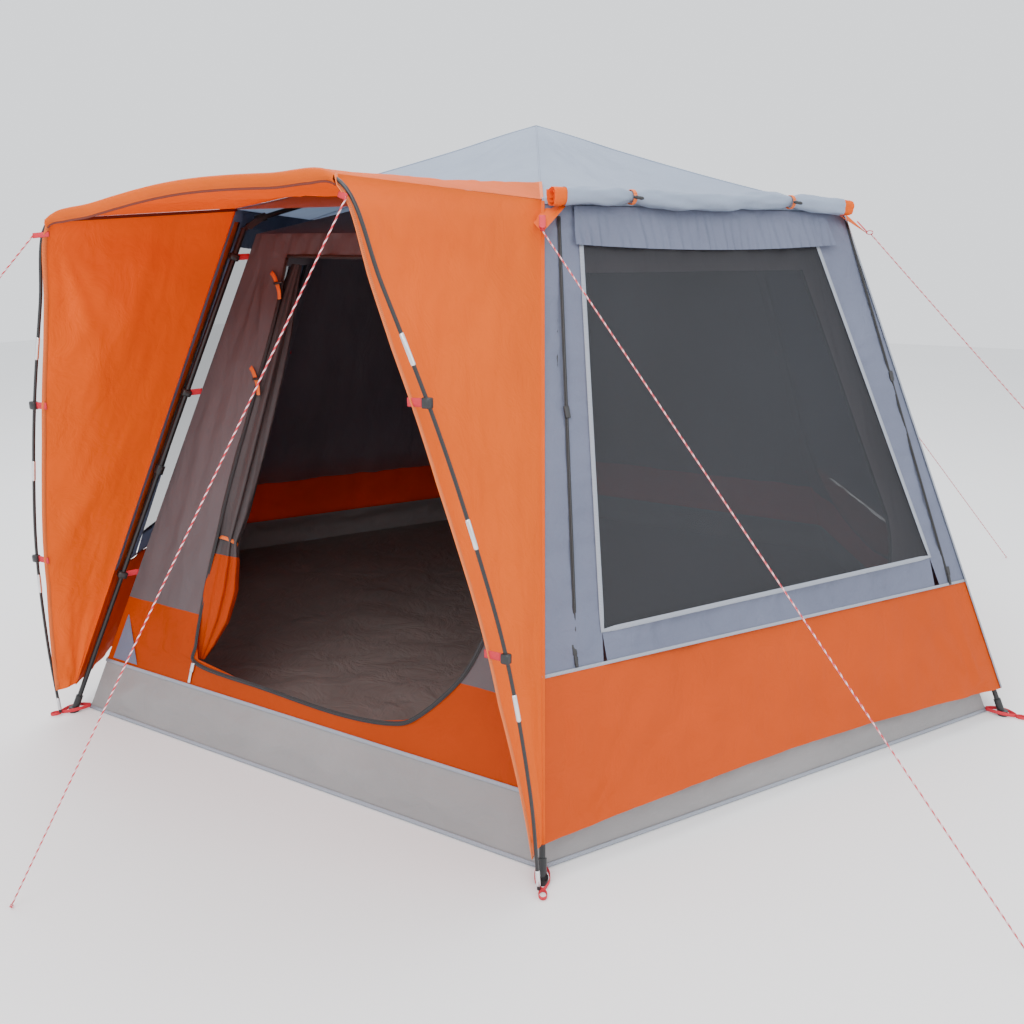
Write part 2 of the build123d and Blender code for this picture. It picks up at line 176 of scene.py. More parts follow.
def varied(tree, color, amount, scale):
    """The base colour, a little lighter and darker in soft patches."""
    field = add(tree, "ShaderNodeTexNoise", Scale=scale, Detail=3.0, Roughness=0.6)
    tree.links.new(mapped(tree, (1, 1, 1)), field.inputs["Vector"])
    ramp = add(tree, "ShaderNodeValToRGB")
    dark = [c * (1 - amount) for c in color]
    light = [min(1.0, c * (1 + amount)) for c in color]
    ramp.color_ramp.elements[0].position = 0.3
    ramp.color_ramp.elements[1].position = 0.7
    ramp.color_ramp.elements[0].color = (*dark, 1)
    ramp.color_ramp.elements[1].color = (*light, 1)
    tree.links.new(field.outputs["Fac"], ramp.inputs["Fac"])
    return ramp.outputs["Color"]


def creases(tree, scale, stretch, distance, fine):
    """Bump of sharp little folds over the finest grain of the weave."""
    ridged = add(tree, "ShaderNodeTexNoise", Scale=scale, Detail=4.0, Roughness=0.55, Distortion=0.6)
    tree.links.new(mapped(tree, stretch), ridged.inputs["Vector"])
    folds = add(tree, "ShaderNodeBump", Strength=0.55, Distance=distance)
    tree.links.new(ridged.outputs["Fac"], folds.inputs["Height"])
    weave = add(tree, "ShaderNodeTexNoise", Scale=fine, Detail=1.0)
    tree.links.new(mapped(tree, (1, 1, 1)), weave.inputs["Vector"])
    grain = add(tree, "ShaderNodeBump", Strength=0.18, Distance=0.0004)
    tree.links.new(weave.outputs["Fac"], grain.inputs["Height"])
    tree.links.new(folds.outputs["Normal"], grain.inputs["Normal"])
    return grain.outputs["Normal"]


def cloth_look(name, color, rough=0.6, glow=0.25, sheen=0.0, scale=9.0, distance=0.012,
               stretch=(1, 1, 1), amount=0.07):
    """Thin coated cloth: some light comes through it."""
    material, tree = node_tree(name)
    paint = varied(tree, color, amount, 2.3)
    normal = creases(tree, scale, stretch, distance, 900.0)
    skin = add(tree, "ShaderNodeBsdfPrincipled", Roughness=rough)
    skin.inputs["Sheen Weight"].default_value = sheen
    skin.inputs["Sheen Roughness"].default_value = 0.5
    skin.inputs["Specular IOR Level"].default_value = 0.22
    through_it = add(tree, "ShaderNodeBsdfTranslucent")
    mix = add(tree, "ShaderNodeMixShader", Fac=glow)
    out = add(tree, "ShaderNodeOutputMaterial")
    links = tree.links
    links.new(paint, skin.inputs["Base Color"])
    deeper = add(tree, "ShaderNodeGamma", Gamma=1.35)
    links.new(paint, deeper.inputs["Color"])
    links.new(deeper.outputs["Color"], through_it.inputs["Color"])
    links.new(normal, skin.inputs["Normal"])
    links.new(normal, through_it.inputs["Normal"])
    links.new(skin.outputs[0], mix.inputs[1])
    links.new(through_it.outputs[0], mix.inputs[2])
    links.new(mix.outputs[0], out.inputs["Surface"])
    return material


def mesh_look(name, color, cover):
    """Fine insect mesh, seen from too far to show its holes."""
    material, tree = node_tree(name)
    threads = add(tree, "ShaderNodeBsdfPrincipled", Roughness=0.6)
    tree.links.new(varied(tree, color, 0.12, 1.6), threads.inputs["Base Color"])
    tree.links.new(creases(tree, 5.0, (1, 1, 1), 0.006, 1400.0), threads.inputs["Normal"])
    holes = add(tree, "ShaderNodeBsdfTransparent")
    mix = add(tree, "ShaderNodeMixShader", Fac=cover)
    out = add(tree, "ShaderNodeOutputMaterial")
    tree.links.new(holes.outputs[0], mix.inputs[1])
    tree.links.new(threads.outputs[0], mix.inputs[2])
    tree.links.new(mix.outputs[0], out.inputs["Surface"])
    return material


def hard_look(name, color, rough, metallic=0.0, bump=0.0002, grain=350.0):
    material, tree = node_tree(name)
    skin = add(tree, "ShaderNodeBsdfPrincipled", Roughness=rough, Metallic=metallic)
    tree.links.new(varied(tree, color, 0.1, 18.0), skin.inputs["Base Color"])
    speck = add(tree, "ShaderNodeTexNoise", Scale=grain, Detail=2.0)
    tree.links.new(mapped(tree, (1, 1, 1)), speck.inputs["Vector"])
    lift = add(tree, "ShaderNodeBump", Strength=0.3, Distance=bump)
    tree.links.new(speck.outputs["Fac"], lift.inputs["Height"])
    tree.links.new(lift.outputs["Normal"], skin.inputs["Normal"])
    out = add(tree, "ShaderNodeOutputMaterial")
    tree.links.new(skin.outputs[0], out.inputs["Surface"])
    return material


def striped_look(name, main, fleck, period, share, rough=0.7, slant=1.0, relief=0.0006):
    """Woven or braided band: diagonal flecks along the piece's own UV."""
    material, tree = node_tree(name)
    stripes = add(tree, "ShaderNodeTexWave", Scale=1.0)
    stripes.wave_type = "BANDS"
    stripes.bands_direction = "DIAGONAL"
    turn = 2.0 / (period * 3.14159)
    tree.links.new(mapped(tree, (slant, turn, 0), uv=True), stripes.inputs["Vector"])
    ramp = add(tree, "ShaderNodeValToRGB")
    ramp.color_ramp.interpolation = "LINEAR"
    ramp.color_ramp.elements[0].position = share - 0.06
    ramp.color_ramp.elements[1].position = share + 0.06
    ramp.color_ramp.elements[0].color = (*main, 1)
    ramp.color_ramp.elements[1].color = (*fleck, 1)
    tree.links.new(stripes.outputs["Fac"], ramp.inputs["Fac"])
    skin = add(tree, "ShaderNodeBsdfPrincipled", Roughness=rough)
    lift = add(tree, "ShaderNodeBump", Strength=0.5, Distance=relief)
    tree.links.new(stripes.outputs["Fac"], lift.inputs["Height"])
    tree.links.new(ramp.outputs["Color"], skin.inputs["Base Color"])
    tree.links.new(lift.outputs["Normal"], skin.inputs["Normal"])
    out = add(tree, "ShaderNodeOutputMaterial")
    tree.links.new(skin.outputs[0], out.inputs["Surface"])
    return material


ORANGE = cloth_look("orange_cloth", (0.80, 0.130, 0.002), glow=0.34, distance=0.014)
ORANGE_LOW = cloth_look("orange_band_cloth", (0.54, 0.066, 0.001), glow=0.20, distance=0.016)
GREY = cloth_look("grey_cloth", (0.165, 0.183, 0.255), glow=0.24, scale=14.0, distance=0.014)
ROOF = cloth_look("roof_cloth", (0.31, 0.37, 0.48), rough=0.5, glow=0.24, distance=0.011)
INNER_CLOTH = cloth_look("inner_cloth", (0.22, 0.185, 0.195), glow=0.55, scale=11.0, distance=0.016,
                         stretch=(1, 1, 0.35))
INNER_ORANGE = cloth_look("inner_orange", (0.66, 0.075, 0.002), glow=0.5, scale=9.0, distance=0.014)
TUB = cloth_look("tub_cloth", (0.25, 0.24, 0.24), rough=0.5, glow=0.02, scale=8.0, distance=0.018)
FLOOR_CLOTH = cloth_look("floor_cloth", (0.175, 0.148, 0.138), rough=0.45, glow=0.0, scale=6.5, distance=0.03)
DOOR_CLOTH = cloth_look("door_cloth", (0.085, 0.072, 0.074), rough=0.5, glow=0.3, scale=16.0, distance=0.012)
MESH = mesh_look("window_mesh_look", (0.015, 0.017, 0.022), 0.62)
INNER_MESH = mesh_look("inner_mesh_look", (0.012, 0.013, 0.016), 0.62)
BLACK = hard_look("black_plastic", (0.016, 0.016, 0.017), 0.45)
POLE = hard_look("pole_paint", (0.012, 0.012, 0.013), 0.32, bump=0.00008)
SILVER = hard_look("silver_tube", (0.72, 0.73, 0.75), 0.3, metallic=1.0, bump=0.00005)
TAPE = striped_look("black_tape", (0.012, 0.012, 0.013), (0.03, 0.03, 0.032), 0.003, 0.6)
RED = striped_look("red_webbing", (0.50, 0.006, 0.022), (0.62, 0.02, 0.04), 0.0025, 0.6, slant=14.0)
GREY_TAPE = striped_look("grey_tape", (0.22, 0.24, 0.28), (0.30, 0.32, 0.37), 0.004, 0.6)
ORANGE_TAPE = striped_look("orange_tape", (0.62, 0.11, 0.015), (0.75, 0.17, 0.03), 0.004, 0.6)
CORD = striped_look("braided_cord", (0.55, 0.012, 0.03), (0.80, 0.60, 0.62), 0.022, 0.66, slant=1.0)
# Dark red-brown seam colour: on the wings' top seams it is also painted shadow from the canopy's edge; the
# canopy's hem uses it too.
SEAM_AND_SHADE = striped_look("seam_and_painted_shade", (0.10, 0.012, 0.004), (0.16, 0.02, 0.006), 0.004, 0.6)


# ---------------------------------------------------------------- mesh builders
def make_piece(name, verts, faces, uvs, looks, face_look=None):
    mesh = bpy.data.meshes.new(name)
    mesh.from_pydata([tuple(v) for v in verts], [], faces)
    layer = mesh.uv_layers.new(name="UVMap")
    for loop in mesh.loops:
        layer.data[loop.index].uv = uvs[loop.vertex_index]
    for look in looks:
        mesh.materials.append(look)
    for polygon in mesh.polygons:
        polygon.use_smooth = True
        if face_look:
            polygon.material_index = face_look(polygon.index)
    mesh.update()
    piece = bpy.data.objects.new(name, mesh)
    bpy.context.scene.collection.objects.link(piece)
    return piece


def grid(name, rows, looks, row_look=None):
    """Sheet from rows of points; its UV is in metres."""
    wide = len(rows[0])
    verts = [p for row in rows for p in row]
    uvs, up = [], 0.0
    for r, row in enumerate(rows):
        if r:
            up += (row[wide // 2] - rows[r - 1][wide // 2]).length
        across = 0.0
        for c in range(wide):
            if c:
                across += (row[c] - row[c - 1]).length
            uvs.append((across, up))
    faces = [(r * wide + c, r * wide + c + 1, (r + 1) * wide + c + 1, (r + 1) * wide + c)
             for r in range(len(rows) - 1) for c in range(wide - 1)]
    pick = (lambda k: row_look[k // (wide - 1)]) if row_look else None
    return make_piece(name, verts, faces, uvs, looks, pick)


def rings(name, sections, looks):
    """Closed tube from equal rings of points."""
    around = len(sections[0])
    verts = [p for ring in sections for p in ring]
    centres = [sum(ring, Vector()) / around for ring in sections]
    run, uvs = 0.0, []
    for k, ring in enumerate(sections):
        if k:
            run += (centres[k] - centres[k - 1]).length
        uvs += [(c / around, run) for c in range(around)]
    faces = []
    for k in range(len(sections) - 1):
        for c in range(around):
            d = (c + 1) % around
            faces.append((k * around + c, k * around + d, (k + 1) * around + d, (k + 1) * around + c))
    faces.append(tuple(reversed(range(around))))
    faces.append(tuple((len(sections) - 1) * around + c for c in range(around)))
    return make_piece(name, verts, faces, uvs, looks)


def frames_along(path, up):
    """Direction and two cross directions at each point of a path."""
    out = []
    for k, p in enumerate(path):
        ahead = path[min(k + 1, len(path) - 1)] - path[max(k - 1, 0)]
        ahead.normalize()
        side = ahead.cross(up).normalized()
        out.append((p, ahead, side, side.cross(ahead).normalized()))
    return out


def tube(name, path, radius, look, sides=10, up=Vector((0.13, 0.21, 0.97))):
    """Round tube; radius is a number or a list along the path."""
    sections = []
    for k, (p, _, a, b) in enumerate(frames_along(path, up)):
        r = radius[k] if isinstance(radius, list) else radius
        sections.append([p + (a * cos(2 * pi * c / sides) + b * sin(2 * pi * c / sides)) * r
                         for c in range(sides)])
    return rings(name, sections, [look])


def ribbon(name, path, normals, width, thick, look):
    """Flat strap with rounded edges; a normal for each point, or one for all."""
    if isinstance(normals, Vector):
        normals = [normals] * len(path)
    sections = []
    for k, p in enumerate(path):
        ahead = path[min(k + 1, len(path) - 1)] - path[max(k - 1, 0)]
        n = normals[k].normalized()
        side = ahead.cross(n).normalized()
        n = side.cross(ahead).normalized()
        w, h = width / 2, thick / 2
        e = min(h, w) * 0.6
        outline = [(w, -h + e), (w, h - e), (w - e, h), (0, h * 1.15), (-w + e, h), (-w, h - e),
                   (-w, -h + e), (-w + e, -h), (w - e, -h)]
        sections.append([p + side * x + n * y for x, y in outline])
    return rings(name, sections, [look])


def straight(a, b, count):
    return [a.lerp(b, k / count) for k in range(count + 1)]


def block(name, centre, x_dir, z_dir, size, look):
    """Small moulded block with a bevelled outline."""
    x = x_dir.normalized()
    y = z_dir.cross(x).normalized()
    z = x.cross(y).normalized()
    sections = []
    for level, inset in ((-0.5, 0.18), (-0.36, 0.0), (0.36, 0.0), (0.5, 0.18)):
        ring = []
        for c in range(16):
            a = 2 * pi * (c + 0.5) / 16
            u = max(-1, min(1, 1.45 * cos(a))) * (1 - inset)
            v = max(-1, min(1, 1.45 * sin(a))) * (1 - inset)
            ring.append(centre + x * u * size[0] / 2 + y * v * size[1] / 2 + z * level * size[2])
        sections.append(ring)
    return rings(name, sections, [look])


def settle(piece, slot_name, keep=FLY_KEEP, nodes=(), body="tent"):
    """Rides on its body and stands for its CAD nodes."""
    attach(piece, body)
    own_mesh(piece)
    if nodes:
        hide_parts(*nodes)
    return piece


def strap(name, path, normals, width, thick, look, slot_name, **how):
    """Ribbon that rides with the tent."""
    return settle(ribbon(name, path, normals, width, thick, look), slot_name, **how)


def band_round(name, loop, width, look, slot_name, thick=0.002, **how):
    """Closed band whose flat side faces the middle of its loop."""
    middle = sum(loop[:-1], Vector()) / (len(loop) - 1)
    return strap(name, loop, [p - middle for p in loop], width, thick, look, slot_name, **how)


def cloth(name, rows, looks, slot_name, nodes=(), keep=FLY_KEEP,
          row_look=None):
    """A sheet of cloth from rows of points."""
    piece = grid(name, rows, looks, row_look)
    settle(piece, slot_name, keep, nodes)
    return piece


def levels(low, high, step, extra=()):
    """Heights up a wall, evenly spaced, with the ones that must be there."""
    count = max(2, round((high - low) / step))
    found = {low + (high - low) * k / count for k in range(count + 1)}
    for value in extra:
        if low < value < high:
            found = {f for f in found if abs(f - value) > step * 0.3 or f in (low, high)}
            found.add(value)
    return sorted(found)


def wall_rows(side, heights, left, right, count, relief, fade=0.06):
    """Rows of a wall between two edge curves; relief dies out at its edges."""
    rows = []
    low, high = heights[0], heights[-1]
    for s in heights:
        a, b = left(s), right(s)
        row = []
        for k in range(count + 1):
            t = a + (b - a) * k / count
            edge = min(abs(t - a), abs(b - t), s - low, high - s)
            row.append(side.point(t, s, relief(t, s) * smooth_step(edge / fade)))
        rows.append(row)
    return rows


# ----------------------------------------------------------------------- camera
def make_camera():
    data = bpy.data.cameras.new("camera")
    data.lens = 33.96
    data.sensor_width = 36.0
    camera = bpy.data.objects.new("camera", data)
    camera.location = (1.9055, -3.4151, 1.5244)
    camera.rotation_euler = (radians(74.8), 0, radians(30.5))
    bpy.context.scene.collection.objects.link(camera)
    bpy.context.scene.camera = camera


# ----------------------------------------------------------------- hoop's shape
def hoop_point(x, v, lift=0.0):
    up = v + HOOP_SKEW * (x / 0.508) * (v / 1.650) ** 2 + lift
    return Vector((x, HOOP_Y - up * sin(HOOP_LEAN), up * cos(HOOP_LEAN)))


def hoop_half_at(v):
    """Half width of the hoop at a height up its plane, as a smooth curve."""
    return between([(b, a) for a, b in HOOP_FINE], v)


def hoop_height_at(x):
    return between(sorted([(a, b) for a, b in HOOP_FINE]), abs(x))


HOOP_FINE = [(p.x, p.y) for p in through([(a, b, 0) for a, b in HOOP_HALF + HOOP_TOP]
                                         + [(-0.300, 1.658, 0)], 10)[:-10]]


# -------------------------------------------------------------------- guy lines
def guy_ends():
    """Start and ground point of each guy line, as in the CAD model."""
    left, right = hoop_point(-0.522, 1.612), hoop_point(0.522, 1.612)
    ends = {"guy_awning_left": (left + Vector((-0.027, -0.014, -0.008)), (-1.880, -2.480)),
            "guy_awning_right": (right + Vector((0.012, -0.016, -0.016)), (-0.137, -2.312)),
            "guy_front_right": (corner(1, 1.252, 1.572), (1.990, -1.290)),
            "guy_right": (corner(2, 1.252, 1.572), (2.620, 0.760)),
            "guy_back_right": (corner(3, 1.252, 1.572), (1.694, 1.929))}
    return {name: (start, Vector((x, y, 0.006))) for name, (start, (x, y)) in ends.items()}


def guy_lines():
    for name, (start, end) in guy_ends().items():
        path = straight(start, end, 60)
        line = tube(name + "_cord", path, CORD_R, CORD, sides=8)
        settle(line, "cord_red", nodes=(name,))
        knot = make_knot(name + "_knot", end, (start - end).normalized())
        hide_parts("guy_knots")


def make_knot(name, centre, along):
    """Overhand knot drawn tight at a line's end."""
    across = along.cross(Vector((0, 0, 1))).normalized()
    other = across.cross(along).normalized()
    path = []
    for k in range(49):
        a = 2 * pi * k / 48
        x = sin(a) + 2 * sin(2 * a)
        y = cos(a) - 2 * cos(2 * a)
        path.append(centre + across * x * 0.0011 + other * y * 0.0011 + along * sin(3 * a) * 0.0022)
    knot = tube(name, path, 0.0017, CORD, sides=8)
    settle(knot, "cord_red")
    return knot


# ---------------------------------------------------------------------- flysheet
FLY_SIDES = [Side(i, FLY["base"], FLY["eave"], FLY["z"]) for i in range(6)]
INNER_SIDES = [Side(i, INNER["base"], INNER["eave"], INNER["z"]) for i in range(6)]
TOP_S = FLY_SIDES[0].length


def hem_height(side, t):
    """The hem is cut in a shallow arch between two feet."""
    share = t / side.low
    return 0.100 + 0.030 * (1 - share * share)


def band_top(side, t, front):
    """Top of the orange band; front is +1 or -1, where the door's end lies."""
    share = (t * front / side.low + 1) / 2
    return BAND_BACK + (BAND_FRONT - BAND_BACK) * share


def fly_relief(seed, sag=0.016):
    def relief(t, s):
        belly = -sag * cos(min(1.0, abs(t) / 0.8) * pi / 2) * sin(pi * min(1.0, s / TOP_S))
        return (belly + lumps(t, s, 0.30, 0.009, seed, 1.6) + lumps(t, s, 0.09, 0.004, seed + 5)
                + rays(t, s, (0.8, 0.1), 7, 0.016, 0.5, seed)
                + rays(t, s, (-0.8, 0.1), 7, 0.016, 0.5, seed + 2))
    return relief


def lower_band(side, front, seed):
    """Orange cloth from the hem to the band's top."""
    rows = []
    for k in range(19):
        row = []
        for c in range(91):
            share = c / 90 * 2 - 1
            low_t, high_t = share * side.half(0.10), share * side.half(0.5)
            low, high = hem_height(side, low_t), band_top(side, high_t, front)
            s = low + (high - low) * k / 18
            t = share * side.half(s)
            edge = min(1.0, (1 - abs(share)) * 9)
            lift = fly_relief(seed)(t, s) * edge + 0.004 * noise.noise(Vector((t * 9, seed, s * 3))) * edge
            row.append(side.point(t, s, lift))
        rows.append(row)
    return rows


def window_edges(front):
    """Edge curves of the window: low t and high t, either way round."""
    a, b = WINDOW["front"], WINDOW["back"]
    low, top = WINDOW["low"], WINDOW["top"]
    front_edge = lambda s: a[0] + (a[1] - a[0]) * (s - low) / (top - low)
    back_edge = lambda s: b[0] + (b[1] - b[0]) * (s - low) / (top - low)
    if front < 0:
        return (lambda s: -front_edge(s)), back_edge
    return (lambda s: -back_edge(s)), front_edge


def pucker(along, across, period, depth, seed):
    """Gathers square to a seam, as deep as depth beside it."""
    wave = noise.noise(Vector((along / period, seed * 2.1, across * 4)))
    return depth * wave * exp(-abs(across) / 0.045)


def window_wall(index, front, nodes):
    """Side wall with its mesh window, orange band, borders, zips and valance."""
    side = FLY_SIDES[index]
    tag = "right" if index == 1 else "left"
    left, right = window_edges(front)
    cloth(f"{tag}_wall_band", lower_band(side, front, index + 1), [ORANGE_LOW], "fabric_orange",
          nodes=nodes)
    low, top = WINDOW["low"], WINDOW["top"]
    base = fly_relief(index + 3, 0.012)

    def border(edge, seed):
        def relief(t, s):
            return base(t, s) + pucker(s, t - edge(s), 0.035, 0.011, seed) * (1 if s > low else 0)
        return relief

    def strip(name, a, b, seed, edge):
        def low_edge(t):
            return band_top(side, t, front)
        rows = []
        heights = levels(0.0, 1.0, 0.008)
        for share in heights:
            row = []
            for k in range(13):
                w = k / 12
                t0 = a(low) + (b(low) - a(low)) * w
                start = low_edge(t0)
                s = start + (TOP_S - start) * share
                t = a(s) + (b(s) - a(s)) * w
                fade = smooth_step(min(w, 1 - w) * 5) * smooth_step(min(share, 1 - share) * 20)
                row.append(side.point(t, s, border(edge, seed)(t, s) * fade))
            rows.append(row)
        cloth(name, rows, [GREY], "fly_grey")

    strip(f"{tag}_wall_border_a", lambda s: -side.half(s), left, 21 + index, left)
    strip(f"{tag}_wall_border_b", right, side.half, 31 + index, right)
    rows = []
    for k in range(11):
        row = []
        for c in range(131):
            t = left(low) + (right(low) - left(low)) * c / 130
            start = band_top(side, t, front)
            s = start + (low - start) * k / 10
            fade = smooth_step(min(c, 130 - c) / 8) * smooth_step(min(k, 10 - k) / 2.5)
            lift = (base(t, s) + pucker(t, s - low, 0.035, 0.013, 41 + index)) * fade
            row.append(side.point(t, s, lift))
        rows.append(row)
    cloth(f"{tag}_wall_sill", rows, [GREY], "fly_grey")
    rows = wall_rows(side, levels(top, TOP_S, 0.01), left, right, 60, lambda t, s: 0.0)
    cloth(f"{tag}_wall_head", rows, [GREY], "fly_grey")
    rows = wall_rows(side, levels(low, top, 0.03), left, right, 40, fly_relief(index + 9, 0.014))
    cloth(f"{tag}_window_mesh", rows, [MESH], "mesh_dark",
          nodes=("window_meshes",))
    window_trim(side, tag, front, left, right)
    valance(side, tag)
    cover_roll(side, tag)


def on_wall(side, pairs, lift, per=1):
    """Points on a wall from (t, s) pairs."""
    points = [side.point(t, s, lift) for t, s in pairs]
    return through(points, per) if per > 1 else points


def window_trim(side, tag, front, left, right):
    """Binding round the mesh, zips with their tapes, seams and pull tabs."""
    low, top = WINDOW["low"], WINDOW["top"] - 0.03
    edge = ([(left(s), s) for s in levels(low, top, 0.05)][::-1]
            + [(left(low) + (right(low) - left(low)) * k / 30, low) for k in range(1, 30)]
            + [(right(s), s) for s in levels(low, top, 0.05)])
    binding = ribbon(f"{tag}_window_binding", on_wall(side, edge, 0.002), side.n, 0.014, 0.0022, GREY_TAPE)
    settle(binding, "fly_grey")
    seam = [(t * side.half(0.495), band_top(side, t * side.half(0.495), front))
            for t in [k / 20 - 1 for k in range(41)]]
    strap(f"{tag}_band_seam", on_wall(side, seam, 0.002), side.n, SEAM_W, SEAM_T, GREY_TAPE, "fly_grey")
    for end, sign in (("front", front), ("back", -front)):
        (t0, s0), (t1, s1) = ZIPS[end]
        path = straight(side.point(sign * t0, s0, 0.003), side.point(sign * t1, s1, 0.003), 40)
        strap(f"{tag}_zip_{end}_tape", path, side.n, 0.011, 0.0018, TAPE, "plastic_black")
        coil = [p + side.n * 0.0016 for p in path]
        strap(f"{tag}_zip_{end}_coil", coil, side.n, 0.004, 0.003, BLACK, "plastic_black")
        place = path[int(40 * (1.20 - s0) / (s1 - s0))] + side.n * 0.003
        tab = block(f"{tag}_zip_{end}_tab", place, side.t, side.n, (0.016, 0.034, 0.006), BLACK)
        settle(tab, "plastic_black")
        slider_piece(side, f"{tag}_zip_slider_{end}", sign * t0, s0 + 0.04)


def slider_piece(side, node, t, s):
    """Zip slider with its cord pull; it rides on its own body."""
    base = side.point(t, s, 0.005)
    body = block(node + "_body", base, side.t, side.n, (0.013, 0.030, 0.005), BLACK)
    below = side.point(t, s - 0.026, 0.0045)
    pull = block(node + "_pull", below, side.t, side.n, (0.009, 0.040, 0.004), BLACK)
    for piece in (body, pull):
        settle(piece, "plastic_black", body=node)
    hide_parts(node)


def valance(side, tag):
    """Gathered strip that hangs behind the rolled cover."""
    rows = []
    for k in range(9):
        row = []
        for c in range(241):
            s = 1.745 - (0.127 - 0.016 * (c / 120 - 1) ** 2) * k / 8
            t = (c / 120 - 1) * (side.half(s) - 0.100)
            frill = noise.noise(Vector((t / 0.016, k * 0.12, 5.5 + side.index)))
            out = 0.006 + (0.002 + 0.009 * k / 8) * (0.5 + frill)
            row.append(side.point(t, s - 0.004 * frill * k / 8, out))
        rows.append(row)
    cloth(f"{tag}_valance", rows, [GREY], "fly_grey")


def cover_roll(side, tag):
    """Storm cover rolled up along the eave, grey outside and orange inside."""
    half, centre_s, out, radius = 0.548, 1.766, 0.036, 0.0295
    ties = (-0.30, 0.31)
    def cinch(t):
        return 1 - sum(0.40 * exp(-((t - x) / 0.034) ** 2) for x in ties)
    def spiral(shrink, reach):
        rows = []
        for c in range(121):
            t = (c / 60 - 1) * reach
            droop = -0.012 * (1 - sum(exp(-((t - x) / 0.2) ** 2) for x in ties)) + 0.004 * sin(t * 9)
            row = []
            for k in range(57):
                turn = k / 56
                a = radians(200) - turn * 2 * pi * 2.2
                r = radius * (0.38 + 0.62 * turn) * cinch(t) - shrink
                r *= 1 + 0.26 * noise.noise(Vector((t * 13, cos(a) * 1.6, sin(a) * 1.6 + side.index)))
                row.append(side.point(t, centre_s + droop + r * sin(a), out + r * cos(a) * 0.92))
            rows.append(row)
        return rows
    cloth(f"{tag}_cover_roll", spiral(0.0, half - 0.020), [ROOF], "fly_light_grey",
          nodes=("cover_rolls",))
    cloth(f"{tag}_cover_lining", spiral(0.0012, half + 0.020), [ORANGE], "fabric_orange")
    for k, t in enumerate(ties):
        loop = []
        for c in range(25):
            a = 2 * pi * c / 24
            r = radius * 0.68
            loop.append(side.point(t, centre_s - 0.004 + r * sin(a), out + r * cos(a) * 0.94))
        band_round(f"{tag}_cover_tie_{k + 1}", loop, TIE_W, ORANGE_TAPE, "fabric_orange")
        toggle = tube(f"{tag}_cover_toggle_{k + 1}",
                      straight(side.point(t - 0.016, 1.750, 0.066), side.point(t + 0.016, 1.746, 0.066), 6),
                      [0.0035, 0.0048, 0.005, 0.004, 0.005, 0.0048, 0.0035], BLACK)
        settle(toggle, "plastic_black")


def back_wall(index, nodes):
    side = FLY_SIDES[index]
    cloth(f"back_wall_band_{index}", lower_band(side, 1, index + 1), [ORANGE_LOW], "fabric_orange",
          nodes=nodes)
    base = fly_relief(index + 3)
    rows = []
    for k in range(66):
        row = []
        for c in range(71):
            share = c / 35 - 1
            start = band_top(side, share * side.half(0.5), 1)
            s = start + (TOP_S - start) * k / 65
            t = share * side.half(s)
            fade = smooth_step((1 - abs(share)) * 9) * smooth_step(min(k, 65 - k) / 3)
            row.append(side.point(t, s, base(t, s) * fade))
        rows.append(row)
    cloth(f"back_wall_{index}", rows, [GREY], "fly_grey")
    seam = [(t * side.half(0.495), band_top(side, t * side.half(0.495), 1))
            for t in [k / 20 - 1 for k in range(41)]]
    strap(f"back_band_seam_{index}", on_wall(side, seam, 0.002), side.n, SEAM_W, SEAM_T, GREY_TAPE,
          "fly_grey")


def roof_point(i, u, v):
    """Point of gore i: u from corner i to the next, v from the eave to the apex."""
    a, b = corner(i, FLY["eave"], FLY["z"]), corner(i + 1, FLY["eave"], FLY["z"])
    ridge = 4 * u * (1 - u)
    drop = (0.014 + 0.020 * ridge) * sin(pi * v ** 0.8) * smooth_step((1 - v) / 0.3)
    lump = lumps(u * 1.1 + i, v * 1.1, 0.22, 0.008, i) * ridge * sin(pi * v) * smooth_step((1 - v) / 0.3)
    return a.lerp(b, u).lerp(Vector((0, 0, APEX_Z)), v) - Vector((0, 0, drop - lump))


def roof():
    """Six gores that sag a little between the ribs, with ridge seams."""
    for i in range(6):
        rows = [[roof_point(i, c / 40, k / 40) for c in range(41)] for k in range(41)]
        cloth(f"roof_gore_{i + 1}", rows, [ROOF], "fly_light_grey", nodes=("roof_fly",))
        welt = [roof_point(i, 0, v / 30) for v in range(31)]
        settle(tube(f"ridge_seam_{i + 1}", welt, 0.0026, ROOF, sides=8), "fly_light_grey")
        if i:
            out = FLY_SIDES[i].n
            eave = [roof_point(i, c / 30, 0) + out * 0.002 for c in range(31)]
            strap(f"eave_seam_{i + 1}", eave, out, 0.018, 0.0025, ROOF, "fly_light_grey")


def corner_seams():
    """Bound seams where two walls of the flysheet meet, over the legs."""
    for i in range(6):
        low, high = corner(i, FLY["base"] + 0.002, 0.0), corner(i, FLY["eave"] + 0.002, FLY["z"])
        out = corner(i, 1, 0.45)
        path = straight(low.lerp(high, 0.06), high, 40)
        look = ORANGE if i in (0, 1) else GREY_TAPE
        strap(f"corner_seam_{i + 1}", path, out, 0.014, 0.003, look, "fabric_orange")


